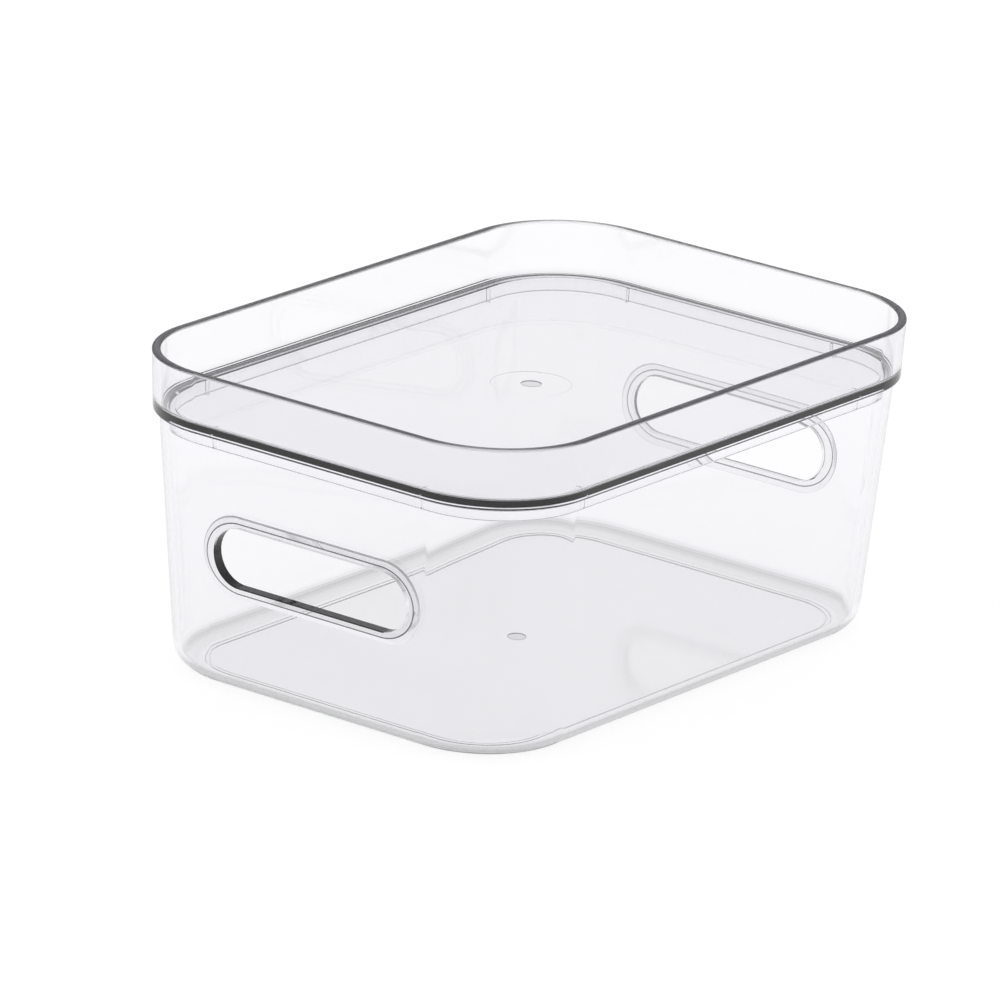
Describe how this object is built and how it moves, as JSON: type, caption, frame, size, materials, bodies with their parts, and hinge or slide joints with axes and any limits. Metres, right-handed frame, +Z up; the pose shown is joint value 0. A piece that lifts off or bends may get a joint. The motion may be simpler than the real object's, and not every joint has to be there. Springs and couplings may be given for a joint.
{
  "type": "storage box with lid",
  "caption": "Clear moulded plastic storage box: a rounded rectangular tub with a slot handle in each end wall and a lift-off tray lid seated on its rim.",
  "frame": {"origin": "on the table under the middle of the tub", "axes": "+X along the longer side, out through one handle; +Y along the shorter side; +Z up, the way the lid lifts off"},
  "size_m": [0.2, 0.145, 0.0927],
  "materials": {
    "tub_clear": "polished clear rigid plastic, faint cool tint",
    "lid_clear": "polished clear rigid plastic, faint cool tint"
  },
  "bodies": {
    "tub": {"tub": "tub_clear"},
    "lid": {"lid": "lid_clear"}
  },
  "joints": [
    {"name": "lid_lift", "type": "slide", "parent": "tub", "child": "lid", "axis": [0, 0, 1], "range_m": [0, 0.1]}
  ]
}
